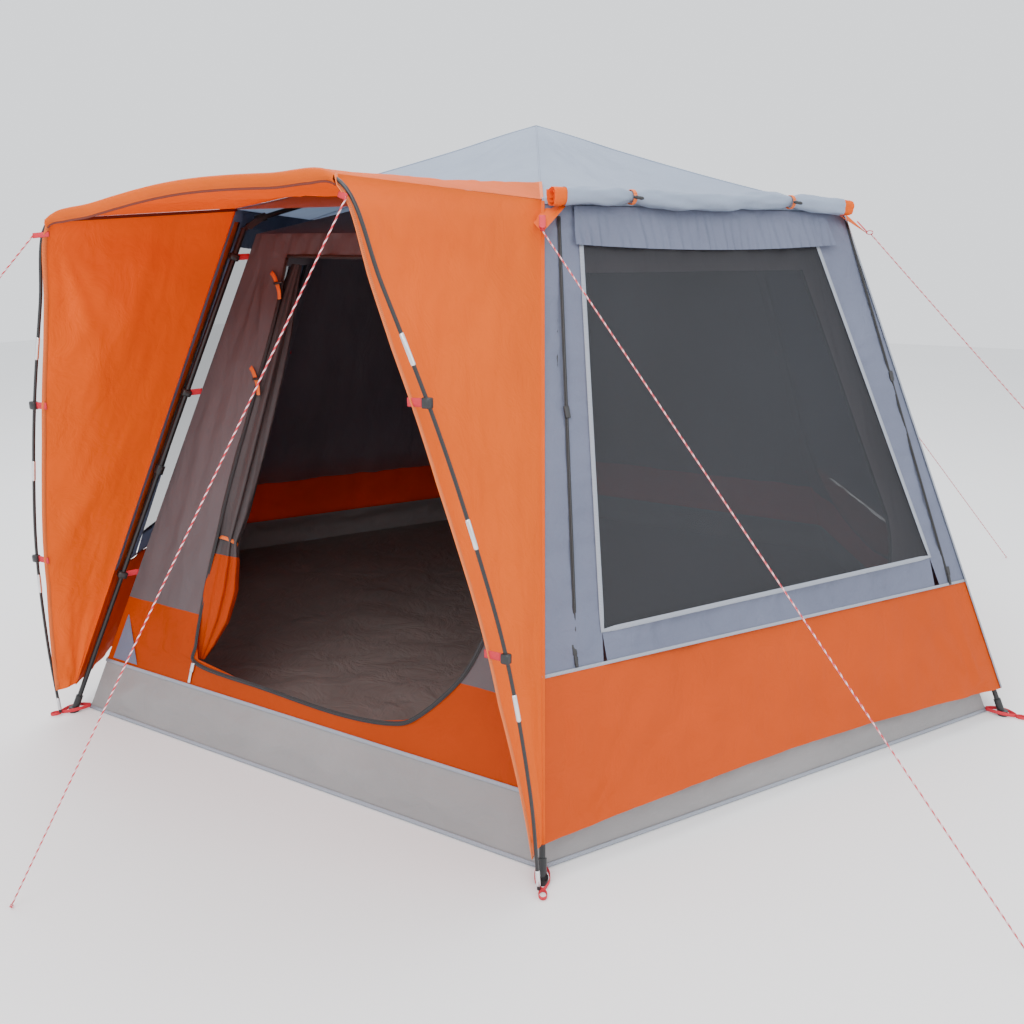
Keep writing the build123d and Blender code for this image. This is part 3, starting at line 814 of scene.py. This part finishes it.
def gussets():
    """Orange flap at an eave corner, drawn out by its guy line."""
    for i in range(1, 6):
        a = radians(CORNER_ANGLES[i])
        out, side = Vector((cos(a), sin(a), 0)), Vector((-sin(a), cos(a), 0))
        rows = []
        for k in range(13):
            v = k / 12
            row = []
            for c in range(13):
                w = c / 12 - 0.5
                p = out * (1.158 + 0.080 * v) + Vector((0, 0, 1.650 - 0.074 * v))
                p += side * w * 0.15 * (1 - v * 0.9) - Vector((0, 0, 0.045 * (1 - v) * (0.5 - abs(w))))
                p -= out * abs(w) * 0.05 * (1 - v)
                p += Vector((0, 0, 0.006 * (1 - v) * noise.noise(Vector((w * 9, i, v)))))
                row.append(p)
            rows.append(row)
        cloth(f"gusset_{i}", rows, [ORANGE], "fabric_orange",
              nodes=("corner_gussets",))
        tip = out * 1.237 + Vector((0, 0, 1.578))
        loop = [tip + out * 0.010 * (1 - cos(2 * pi * c / 16)) - Vector((0, 0, 0.006 * sin(2 * pi * c / 16)))
                for c in range(17)]
        strap(f"gusset_loop_{i}", loop, side.cross(out) + Vector((0, 0, 0.01)), 0.012, 0.002, RED,
              "webbing_red")
        tab = straight(out * 1.205 + Vector((0, 0, 1.610)), tip, 5)
        strap(f"gusset_tab_{i}", [p + Vector((0, 0, 0.003)) for p in tab], Vector((0, 0, 1)), 0.018,
              0.002, RED, "webbing_red")


# ------------------------------------------------------------------------ awning
def wing(way):
    """Side curtain from the corner leg to its hemmed edge by the pole."""
    index = 1 if way > 0 else 0
    leg = lambda z: corner(index, FLY["base"] + (FLY["eave"] - FLY["base"]) * z / FLY["z"], z)
    top = hoop_height_at(0.497) + 0.010
    rows, edge = [], []
    for k in range(71):
        v = 0.10 + (top - 0.10) * k / 70
        free = hoop_point(way * (hoop_half_at(min(v, 1.628)) - between(WING_EDGE, v)), v)
        start = leg(0.10 + (FLY["z"] + 0.003 - 0.10) * k / 70)
        row = []
        for c in range(49):
            u = c / 48
            p = start.lerp(free, u)
            deep = (free - start).length
            out = Vector((way, 0, 0))
            belly = -0.05 * deep * sin(pi * u) + 0.02 * deep * sin(2 * pi * u)
            fold = lumps(u * deep, v, 0.16, 0.010, 50 + way, 2.2) + rays(
                u * deep, v, (0.7, 1.62), 8, 0.02, 0.45, 60 + way) + rays(
                u * deep, v, (0.0, 0.1), 5, 0.02, 0.6, 62 + way)
            fold *= sin(pi * u) ** 0.7 * smooth_step((70 - k) / 6)
            p += out * (belly * smooth_step((70 - k) / 16) + fold)
            row.append(p)
        rows.append(row)
        edge.append(row[-1])
    tag = "right" if way > 0 else "left"
    cloth(f"{tag}_awning_wing", rows, [ORANGE], "fabric_orange", nodes=("awning_wings",))
    strap(f"{tag}_wing_hem", edge, Vector((way, 0.2, 0)), 0.014, 0.0026, ORANGE_TAPE, "fabric_orange")
    # Dark strip on the wing's inner face just under the canopy: a seam with painted shadow from the canopy's
    # edge.
    seam = [p + Vector((-0.004 * way, 0, -0.004)) for p in rows[-1]]
    strap(f"{tag}_wing_seam_and_shade", seam, Vector((-way, 0, 0)), SEAM_W, SEAM_T, SEAM_AND_SHADE, "fabric_orange")


def canopy_back(w):
    """Edge of the canopy on the roof: up one ridge, across the gore, down the other."""
    out = max(0.0, abs(w) - CORNER_AT) / (1 - CORNER_AT)
    u = 0.5 + max(-1.0, min(1.0, w / CORNER_AT)) / 2
    return roof_point(0, u, CANOPY_UP * (1 - out)) + Vector((0, 0, 0.004))


def canopy():
    """Awning roof: one crowned sheet from the roof to over the hoop, with the pole's sleeve."""
    rows = []
    for k in range(49):
        v = k / 48
        row = []
        for c in range(81):
            w = c / 40 - 1
            x_front = w * 0.497
            front = hoop_point(x_front, hoop_height_at(x_front), 0.010)
            p = canopy_back(w).lerp(front, v)
            p.z += -0.012 * sin(pi * v) * (1 - w * w)
            p.z += lumps(w, v, 0.25, 0.008, 71, 0.6) * sin(pi * v) * (1 - w ** 4)
            row.append(p)
        rows.append(row)
    cloth("awning_roof", rows, [ORANGE], "fabric_orange", nodes=("awning_canopy",))
    back = [p + Vector((0, 0, 0.001)) for p in rows[0]]
    strap("canopy_back_seam", back, Vector((0, -0.3, 1)), 0.010, 0.002, ORANGE_TAPE, "fabric_orange")
    profile = [(0.001, -0.0205), (0.006, -0.0130), (0.0095, -0.0040), (0.0070, 0.0060), (0.0, 0.0108),
               (-0.0075, 0.0070), (-0.0110, -0.0030), (-0.0080, -0.0135), (-0.0020, -0.0215)]
    sleeve = []
    for ahead, lift in profile:
        line = []
        for c in range(121):
            x = (c / 60 - 1) * 0.497
            pinch = 1 - 0.45 * smooth_step((abs(x) - 0.42) / 0.077) * (1 if lift < 0 else 0)
            ripple = 0.0012 * noise.noise(Vector((x * 30, lift * 40, 3.3)))
            line.append(hoop_point(x, hoop_height_at(x), lift * pinch) + Vector((0, ahead + ripple, 0)))
        sleeve.append(line)
    cloth("canopy_sleeve", sleeve, [ORANGE], "fabric_orange")
    strap("canopy_hem", [p + Vector((0, -0.0015, 0)) for p in sleeve[-1]], Vector((0, -1, 0.1)), 0.006,
          0.002, SEAM_AND_SHADE, "fabric_orange")


def hoop():
    """Shock-corded pole with metal sleeves, from foot to foot."""
    half = [hoop_point(x, v) for x, v in HOOP_FINE]
    other = [hoop_point(-x, v) for x, v in reversed(HOOP_FINE[:-1])]
    path = half + other
    settle(tube("hoop", path, POLE_R, POLE, sides=12), "pole_black", nodes=("hoop_pole",))
    for way, tag in ((1, "right"), (-1, "left")):
        for k, (v, long) in enumerate(((0.045, 0.022), (0.50, 0.033), (0.90, 0.033), (1.29, 0.033))):
            path = [hoop_point(way * hoop_half_at(v + long * w), v + long * w) for w in (-1, -0.9, 0, 0.9, 1)]
            radii = [FERRULE_END_R] + [FERRULE_R] * 3 + [FERRULE_END_R]
            piece = tube(f"{tag}_ferrule_{k + 1}", path, radii, SILVER, sides=14)
            settle(piece, "tube_silver", nodes=("hoop_ferrules",))


def pole_tabs():
    """Red tabs with black hooks that hold the curtains to the hoop pole."""
    for way, places in ((-1, (1.115, 0.592)), (1, (1.18, 0.62))):
        tag = "right" if way > 0 else "left"
        for k, v in enumerate(places):
            pole = hoop_point(way * hoop_half_at(v), v)
            edge = hoop_point(way * (hoop_half_at(v) - between(WING_EDGE, v)), v)
            along = (edge - pole).normalized()
            tab = straight(edge + along * 0.012, pole + along * 0.010, 4)
            strap(f"{tag}_pole_tab_{k + 1}", tab, Vector((0, -1, 0)), 0.020, 0.003, RED, "webbing_red")
            settle(block(f"{tag}_pole_hook_{k + 1}", pole + Vector((0, -0.002, 0)), Vector((1, 0, 0)),
                         Vector((0, -1, 0)), (0.022, 0.024, 0.018), BLACK), "plastic_black")


# -------------------------------------------------------------------- inner tent
def opening_wall(name, side, low, high, left, right, keep_band, relief, step=0.028, extra=(), nodes=()):
    """Wall around an opening: the parts beside it, banded orange below."""
    heights = levels(low, high, step, tuple(extra) + (INNER_BAND,))
    looks = [1 if h < keep_band - 1e-6 else 0 for h in heights[:-1]]
    for tag, a, b in (("a", lambda s: -side.half(s), left), ("b", right, side.half)):
        rows = wall_rows(side, heights, a, b, 26, relief)
        cloth(f"{name}_{tag}", rows, [INNER_CLOTH, INNER_ORANGE], "inner_grey", keep=INNER_KEEP,
              row_look=looks, nodes=nodes)


def inner_relief(seed):
    def relief(t, s):
        return (lumps(t, s, 0.10, 0.009, seed, 5.0) + lumps(t, s, 0.35, 0.010, seed + 3)
                + rays(t, s, (-0.5, 1.6), 9, 0.012, 0.5, seed)
                + rays(t, s, (0.5, 1.6), 9, 0.012, 0.5, seed + 1))
    return relief


def inner_front():
    """Front wall around the doorway, with its zip and header."""
    side = INNER_SIDES[0]
    top = side.length
    door_extra = [s for s, _ in DOOR_LEFT + DOOR_RIGHT] + [0.233, 0.241, 0.265]
    opening_wall("inner_front", side, 0.229, 1.600, lambda s: between(DOOR_LEFT, s),
                 lambda s: between(DOOR_RIGHT, s), INNER_BAND, inner_relief(81), extra=door_extra,
                 nodes=("inner_front_wall",))
    full = (lambda s: -side.half(s)), side.half
    rows = wall_rows(side, levels(TUB_TOP, 0.229, 0.012), *full, 80, lambda t, s: 0.0)
    cloth("inner_front_sill", rows, [INNER_ORANGE], "inner_grey", keep=INNER_KEEP)
    rows = wall_rows(side, levels(1.600, top, 0.008), *full, 160,
                     lambda t, s: 0.013 * noise.noise(Vector((t / 0.028, s * 3, 4.4))), fade=0.02)
    cloth("inner_front_head", rows, [INNER_CLOTH], "inner_grey", keep=INNER_KEEP)
    line = ([(t, s) for s, t in reversed(DOOR_LEFT)] + [(t, s) for s, t in DOOR_RIGHT[1:]]
            + [(0.36, 1.606), (0.0, 1.603), (-0.385, 1.606)])
    path = through([side.point(t, s, 0.003) for t, s in line], 8)
    strap("door_zip_tape", path, side.n, 0.013, 0.002, TAPE, "plastic_black", keep=INNER_KEEP)
    strap("door_zip_coil", [p + side.n * 0.0018 for p in path], side.n, 0.005, 0.003, BLACK,
          "plastic_black", keep=INNER_KEEP)
    place, below = side.point(-0.445, 0.236, 0.005), side.point(-0.447, 0.205, 0.005)
    slider = block("door_slider_body", place, side.t, side.n, (0.014, 0.030, 0.006), SILVER)
    pull = block("door_slider_pull", below, side.t, side.n, (0.010, 0.040, 0.004), SILVER)
    for piece in (slider, pull):
        settle(piece, "tube_silver", keep=INNER_KEEP, body="door_zip_slider")
    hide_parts("door_zip_slider")
    patch = []
    for s in levels(0.19, 0.345, 0.02):
        wide = 0.12 - (s - 0.19) * 0.75
        patch.append([side.point(-side.half(s) + 0.03 + wide * c / 6, s, 0.004) for c in range(7)])
    cloth("corner_patch", patch, [GREY], "fly_grey", keep=INNER_KEEP)


def mesh_opening(side, width, low, spring):
    """Half width of a D-shaped window at a height: round below, straight above."""
    def half(s):
        full = side.half(s) - width
        if s >= spring:
            return full
        if s <= low:
            return 0.0
        share = (spring - s) / (spring - low)
        return (side.half(spring) - width) * sqrt(max(0.0, 1 - share ** 2.6))
    return half


def inner_walls():
    for i in range(1, 6):
        side = INNER_SIDES[i]
        low, top = TUB_TOP, side.length
        if i in (1, 2, 5):
            half = mesh_opening(side, 0.15, 0.33, 0.72)
            extra = (0.33, 0.335, 0.345, 0.36, 0.38)
            opening_wall(f"inner_wall_{i}", side, low, 1.56, lambda s: -half(s), half, INNER_BAND,
                         inner_relief(90 + i), extra=extra, nodes=("inner_walls",))
            full = (lambda s: -side.half(s)), side.half
            rows = wall_rows(side, levels(1.56, top, 0.03), *full, 40, lambda t, s: 0.0)
            cloth(f"inner_wall_head_{i}", rows, [INNER_CLOTH], "inner_grey", keep=INNER_KEEP)
            rows = wall_rows(side, levels(0.335, 1.56, 0.035), lambda s: -half(s), half, 30,
                             lambda t, s: lumps(t, s, 0.3, 0.012, i))
            cloth(f"inner_mesh_{i}", rows, [INNER_MESH], "mesh_dark", keep=INNER_KEEP)
            edge = [(-half(s), s) for s in levels(0.331, 1.56, 0.03)][::-1]
            edge += [(-t, s) for t, s in reversed(edge)]
            path = [side.point(t, s, 0.002) for t, s in edge]
            strap(f"inner_mesh_binding_{i}", path, side.n, 0.014, 0.003, TAPE, "plastic_black",
                  keep=INNER_KEEP)
        else:
            heights = levels(low, top, 0.03, (INNER_BAND,))
            rows = wall_rows(side, heights, lambda s: -side.half(s), side.half, 60, inner_relief(90 + i))
            cloth(f"inner_wall_{i}", rows, [INNER_CLOTH, INNER_ORANGE], "inner_grey", keep=INNER_KEEP,
                  row_look=[1 if h < INNER_BAND - 1e-6 else 0 for h in heights[:-1]])


def inner_roof():
    apex = Vector((0, 0, INNER_APEX_Z))
    for i in range(6):
        a, b = corner(i, INNER["eave"], INNER["z"]), corner(i + 1, INNER["eave"], INNER["z"])
        rows = []
        for k in range(21):
            v = k / 20
            rows.append([a.lerp(b, c / 24).lerp(apex, v) - Vector((0, 0, (
                0.012 + 0.025 * sin(pi * c / 24)) * sin(pi * v))) for c in range(25)])
        cloth(f"inner_roof_{i + 1}", rows, [INNER_CLOTH], "inner_grey", keep=INNER_KEEP,
              nodes=("inner_roof",))


def groundsheet():
    """Wrinkled floor and the upright sides of the tub."""
    rows = []
    for k in range(41):
        share = k / 40
        row = []
        for c in range(181):
            a = 2 * pi * c / 180
            r = FLOOR_R * share * cos(pi / 6) / cos((a % (pi / 3)) - pi / 6)
            x, y = r * cos(a), r * sin(a)
            bump = abs(noise.noise(Vector((x * 4.2, y * 4.2, 2.0)))) ** 0.7
            lift = 0.002 + 0.011 * bump * smooth_step((1 - share) * 12) + (0.007 if k == 40 else 0.0)
            row.append(Vector((x, y, lift)))
        rows.append(row)
    cloth("tent_floor", rows, [FLOOR_CLOTH], "groundsheet_grey", keep=0.3,
          nodes=("groundsheet",))
    for i in range(6):
        side = INNER_SIDES[i]
        tub_rows = []
        for s in levels(0.003, TUB_TOP, 0.011):
            row = []
            for c in range(101):
                t = (c / 50 - 1) * side.half(s)
                fade = smooth_step((1 - abs(c / 50 - 1)) * 10)
                slump = 0.012 * sin(pi * s / TUB_TOP) + lumps(t, s, 0.15, 0.010, 120 + i, 0.8)
                row.append(side.point(t, s, slump * fade * sin(pi * min(1, s / TUB_TOP))))
            tub_rows.append(row)
        cloth(f"tub_side_{i + 1}", tub_rows, [TUB], "groundsheet_grey", keep=INNER_KEEP)
        for name, s, look in (("tub_seam", TUB_TOP, GREY_TAPE), ("tub_foot", 0.007, GREY_TAPE)):
            path = [side.point(t * side.half(s), s, 0.003) for t in [k / 15 - 1 for k in range(31)]]
            strap(f"{name}_{i + 1}", path, side.n, 0.011, 0.003, look, "groundsheet_grey", keep=INNER_KEEP)


def door_bundle():
    """The door, gathered along its left edge and tied."""
    side = INNER_SIDES[0]
    centre = [(1.590, -0.372, 0.014), (1.480, -0.385, 0.026), (1.36, -0.392, 0.036), (1.20, -0.405, 0.042),
              (0.95, -0.425, 0.046), (0.75, -0.440, 0.044), (0.655, -0.442, 0.030), (0.60, -0.440, 0.040),
              (0.50, -0.438, 0.050), (0.40, -0.440, 0.044), (0.315, -0.450, 0.026), (0.262, -0.456, 0.010)]
    sections, looks = [], []
    heights = levels(0.262, 1.590, 0.012)
    table_t = [(s, t) for s, t, _ in reversed(centre)]
    table_r = [(s, r) for s, _, r in reversed(centre)]
    for s in heights:
        t0, r0 = between(table_t, s), between(table_r, s)
        ring = []
        for c in range(49):
            a = 2 * pi * c / 48
            drift = s * 0.9
            fold = 0.30 * noise.noise(Vector((cos(a) * 1.9, sin(a) * 1.9, drift)))
            fold += 0.16 * sin(7 * a + drift * 2)
            fold += 0.10 * sin(12 * a - drift * 3)
            r = r0 * (1 + fold)
            n = -0.036 + r * sin(a) * 0.75
            ring.append(side.point(t0 + r * cos(a) * 1.25, s, n))
        sections.append(ring)
        looks.append(1 if s < 0.60 else 0)
    cloth("door_bundle", sections, [DOOR_CLOTH, INNER_ORANGE], "fabric_orange", keep=INNER_KEEP,
          nodes=("door_panel",), row_look=looks[:-1])
    t0, r0 = between(table_t, 0.653), between(table_r, 0.653)
    loop = [side.point(t0 + r0 * 1.30 * cos(2 * pi * c / 28), 0.653 + 0.012 * sin(2 * pi * c / 28),
                       -0.036 + r0 * 0.90 * sin(2 * pi * c / 28)) for c in range(29)]
    band_round("door_tie", loop, TIE_W, ORANGE_TAPE, "fabric_orange", keep=INNER_KEEP)
    for k, (t, s) in enumerate(((-0.405, 1.52), (-0.415, 1.20))):
        line = through([side.point(t - 0.035, s + 0.030, 0.004), side.point(t - 0.008, s + 0.010, 0.012),
                        side.point(t + 0.020, s - 0.030, 0.012), side.point(t + 0.026, s - 0.060, 0.006)], 6)
        strap(f"door_strap_{k + 1}", line, side.n, 0.014, 0.002, ORANGE_TAPE, "fabric_orange",
              keep=INNER_KEEP)
        toggle = straight(side.point(t + 0.000, s - 0.012, 0.018), side.point(t + 0.036, s - 0.006, 0.018), 6)
        barrel = tube(f"door_toggle_{k + 1}", toggle, TOGGLE_RADII, BLACK)
        settle(barrel, "plastic_black", keep=INNER_KEEP)


# ------------------------------------------------------- strips and fittings
def leg_strips():
    """Orange strip and black piping on the inner face of the walls beside the front legs."""
    for index, way, tag in ((5, 1, "left"), (1, -1, "right")):
        side = FLY_SIDES[index]
        rows = []
        for s in levels(0.12, 1.72, 0.03):
            edge = way * side.half(s)
            rows.append([side.point(edge - way * (0.004 + 0.046 * c / 6), s,
                                    -0.008 + 0.002 * noise.noise(Vector((s * 7, c, way)))) for c in range(7)])
        cloth(f"{tag}_leg_strip", rows, [ORANGE], "fabric_orange")
        path = [side.point(way * (side.half(s) - 0.052), s, -0.010) for s in levels(0.12, 1.72, 0.04)]
        settle(tube(f"{tag}_leg_piping", path, 0.0035, BLACK, sides=8), "plastic_black")


def leg_clips():
    """Black hooks on the legs, with red tabs to the inner tent."""
    for i in range(6):
        a = radians(CORNER_ANGLES[i])
        out, side = Vector((cos(a), sin(a), 0)), Vector((-sin(a), cos(a), 0))
        for k, z in enumerate((0.46, 1.06, 1.50)):
            share = (1.612 - z) / 1.612
            r = 1.122 + (1.826 - 1.122) * share
            inner_r = INNER["base"] + (INNER["eave"] - INNER["base"]) * z / INNER["z"]
            hook = out * r + Vector((0, 0, z))
            settle(block(f"leg_clip_{i + 1}_{k + 1}", hook, side, Vector((0.4 * out.x, 0.4 * out.y, -0.92)),
                         (0.030, 0.030, 0.022), BLACK), "plastic_black")
            tab = straight(hook - out * 0.012, out * (inner_r - 0.004) + Vector((0, 0, z + 0.002)), 5)
            strap(f"leg_tab_{i + 1}_{k + 1}", tab, side, 0.020, 0.0025, RED, "webbing_red",
                  keep=FLY_KEEP)


def foot_webbing():
    """Red straps from the tub's corner round the shoe to the peg loop."""
    for i in range(6):
        a = radians(CORNER_ANGLES[i])
        out, side = Vector((cos(a), sin(a), 0)), Vector((-sin(a), cos(a), 0))
        up = Vector((0, 0, 1))
        for sign in (-1, 1):
            path = through([out * 1.772 + side * sign * 0.004 + up * 0.012, out * 1.802 + side * sign * 0.017
                            + up * 0.014, out * 1.834 + side * sign * 0.018 + up * 0.013,
                            out * 1.858 + side * sign * 0.008 + up * 0.010, out * 1.866 + up * 0.009], 6)
            strap(f"foot_strap_{i + 1}_{'b' if sign > 0 else 'a'}", path, side * sign, 0.012, 0.0022, RED,
                  "webbing_red", nodes=("webbing_loops",))
        turns = [2 * pi * c / 24 for c in range(25)]
        loop = [out * (1.882 + 0.016 * cos(a)) + side * 0.010 * sin(a) + up * 0.007 for a in turns]
        band_round(f"peg_loop_{i + 1}", loop, 0.009, RED, "webbing_red", thick=0.0022)


def awning_points():
    """Webbing at the hoop's two upper corners, where its guys are tied."""
    for way in (-1, 1):
        tag = "right" if way > 0 else "left"
        start = guy_ends()[f"guy_awning_{tag}"][0]
        path = straight(hoop_point(way * 0.500, 1.606), start, 6)
        strap(f"{tag}_awning_tab", path, Vector((0, -1, 0.2)), 0.014, 0.003, RED, "webbing_red")


# ------------------------------------------------------------------ frame's looks
def frame_looks():
    looks = {"hub_body": BLACK, "hub_pins": SILVER}
    for k in range(1, 7):
        looks.update({f"rib_{k}": POLE, f"knuckle_{k}": BLACK, f"upper_leg_{k}": POLE,
                      f"lower_leg_{k}": POLE, f"lock_button_{k}": BLACK})
    for node, look in looks.items():
        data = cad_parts[node].data
        data.materials.clear()
        data.materials.append(look)


# ----------------------------------------------------------------- light and floor
def surroundings():
    mesh = bpy.data.meshes.new("ground")
    mesh.from_pydata([(-14, -14, -0.0005), (14, -14, -0.0005), (14, 14, -0.0005), (-14, 14, -0.0005)], [],
                     [(0, 1, 2, 3)])
    ground = bpy.data.objects.new("ground", mesh)
    material, tree = node_tree("pale_floor")
    skin = add(tree, "ShaderNodeBsdfPrincipled", Roughness=0.9)
    tree.links.new(varied(tree, (0.86, 0.86, 0.86), 0.01, 0.6), skin.inputs["Base Color"])
    out = add(tree, "ShaderNodeOutputMaterial")
    tree.links.new(skin.outputs[0], out.inputs["Surface"])
    mesh.materials.append(material)
    bpy.context.scene.collection.objects.link(ground)
    world = bpy.data.worlds.new("studio")
    world.use_nodes = True
    world.node_tree.nodes["Background"].inputs[0].default_value = (0.93, 0.96, 1.0, 1)
    world.node_tree.nodes["Background"].inputs[1].default_value = 1.5
    bpy.context.scene.world = world
    for name, place, size, power in (("key", (1.5, -5.5, 5.0), 4.0, 300), ("top", (-1.0, 0.5, 6.0), 5.0, 290),
                                     ("fill", (6.0, -1.5, 3.0), 3.5, 90)):
        data = bpy.data.lights.new(name, "AREA")
        data.size, data.energy = size, power
        lamp = bpy.data.objects.new(name, data)
        lamp.location = place
        aim = Vector((0, -0.3, 0.8)) - Vector(place)
        lamp.rotation_euler = aim.to_track_quat("-Z", "Y").to_euler()
        bpy.context.scene.collection.objects.link(lamp)


make_camera()
guy_lines()
surroundings()
frame_looks()
roof()
window_wall(1, -1, ("fly_window_walls",))
window_wall(5, 1, ())
for wall_index in (2, 3, 4):
    back_wall(wall_index, ("fly_back_walls",))
corner_seams()
gussets()
wing(1)
wing(-1)
canopy()
hoop()
pole_tabs()
groundsheet()
inner_front()
inner_walls()
inner_roof()
door_bundle()
leg_strips()
leg_clips()
foot_webbing()
awning_points()
